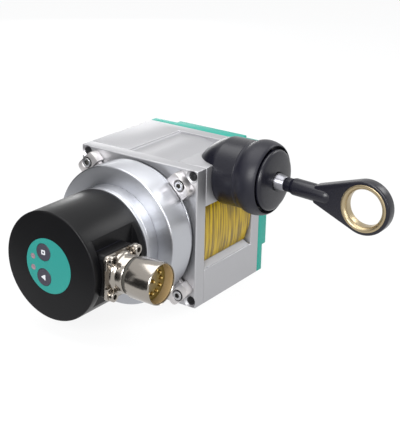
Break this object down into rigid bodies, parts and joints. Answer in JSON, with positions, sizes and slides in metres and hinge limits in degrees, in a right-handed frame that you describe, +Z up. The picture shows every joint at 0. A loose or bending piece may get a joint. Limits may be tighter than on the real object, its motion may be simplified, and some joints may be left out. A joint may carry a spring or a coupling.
{
  "type": "draw wire encoder",
  "caption": "Draw wire encoder: round encoder with keys and side connector, flanged to a square aluminium drum housing with a black wire outlet and a wire end with an eye.",
  "frame": {"origin": "middle of the housing's flat base, straight under the drum's axis, in the plane of the wire", "axes": "+X is the way the wire leaves, +Y runs along the drum's axis from the encoder's end face towards the green rear cover, +Z is up, away from the base"},
  "size_m": [0.1732, 0.142, 0.0912],
  "materials": {
    "housing": "fine-blasted and clear anodised",
    "turned": "turned, satin",
    "clamp": "milled, satin",
    "black_cover": "black, satin",
    "black_plastic": "moulded, matt",
    "black_rubber": "moulded, matt",
    "green_cover": "moulded, satin",
    "green_panel": "printed film, matt",
    "key": "satin",
    "lamp": "clear, unlit",
    "yellow": "plain film, satin",
    "nickel": "nickel plated, satin",
    "insert": "amber, translucent",
    "gold": "gold plated",
    "steel": "bright",
    "spring_steel": "blued strip",
    "bush": "bronze, satin",
    "board": "lacquered",
    "felt": "pressed felt"
  },
  "bodies": {
    "housing": {"drum_housing": "housing", "front_plate": "housing", "corner_clamps": "clamp", "clamp_screws": "steel", "flange_disc": "turned", "encoder_flange": "turned", "encoder_screws": "steel", "encoder_seal": "black_rubber", "encoder_cover": "black_cover", "key_panel": "green_panel", "status_lamps": "lamp", "circuit_board": "board", "key_switches": "black_plastic", "encoder_bearings": "steel", "connector_gasket": "black_rubber", "connector_block": "black_cover", "connector_flange": "nickel", "connector_shell": "nickel", "connector_insert": "insert", "connector_contacts": "gold", "connector_screws": "steel", "drum_bearings": "steel", "power_spring": "spring_steel", "rear_cover": "green_cover", "rear_screws": "steel", "yellow_plate": "yellow", "outlet_base": "black_plastic", "outlet_screws": "steel", "outlet_bumper": "black_rubber", "outlet_cap": "black_plastic", "guide_bush": "steel", "felt_wiper": "felt"},
    "wire_end": {"wire_lead": "steel", "wire_ferrule": "steel", "eye_end": "black_plastic", "eye_bush": "bush"},
    "drum": {"drum": "black_plastic", "drum_shaft": "steel", "wire_winding": "steel", "spring_arbor": "steel", "shaft_coupling": "turned", "encoder_shaft": "steel", "code_disc": "black_plastic"},
    "button_upper": {"upper_key": "key"},
    "button_lower": {"lower_key": "key"}
  },
  "joints": [
    {"name": "wire_pull", "type": "slide", "parent": "housing", "child": "wire_end", "axis": [1, 0, 0], "range_m": [0, 3], "stiffness_N_per_m": 1.2, "springref_m": -6},
    {"name": "drum_spin", "type": "hinge", "parent": "housing", "child": "drum", "pos_m": [0, 0, 0.039], "axis": [0, 1, 0], "range_deg": [0, 5401]},
    {"name": "button_upper_press", "type": "slide", "parent": "housing", "child": "button_upper", "axis": [0, 1, 0], "range_m": [0, 0.0005], "stiffness_N_per_m": 900},
    {"name": "button_lower_press", "type": "slide", "parent": "housing", "child": "button_lower", "axis": [0, 1, 0], "range_m": [0, 0.0005], "stiffness_N_per_m": 900}
  ],
  "couplings": [
    {"joint": "drum_spin", "follows": "wire_pull", "rad_per_m": 31.416}
  ]
}
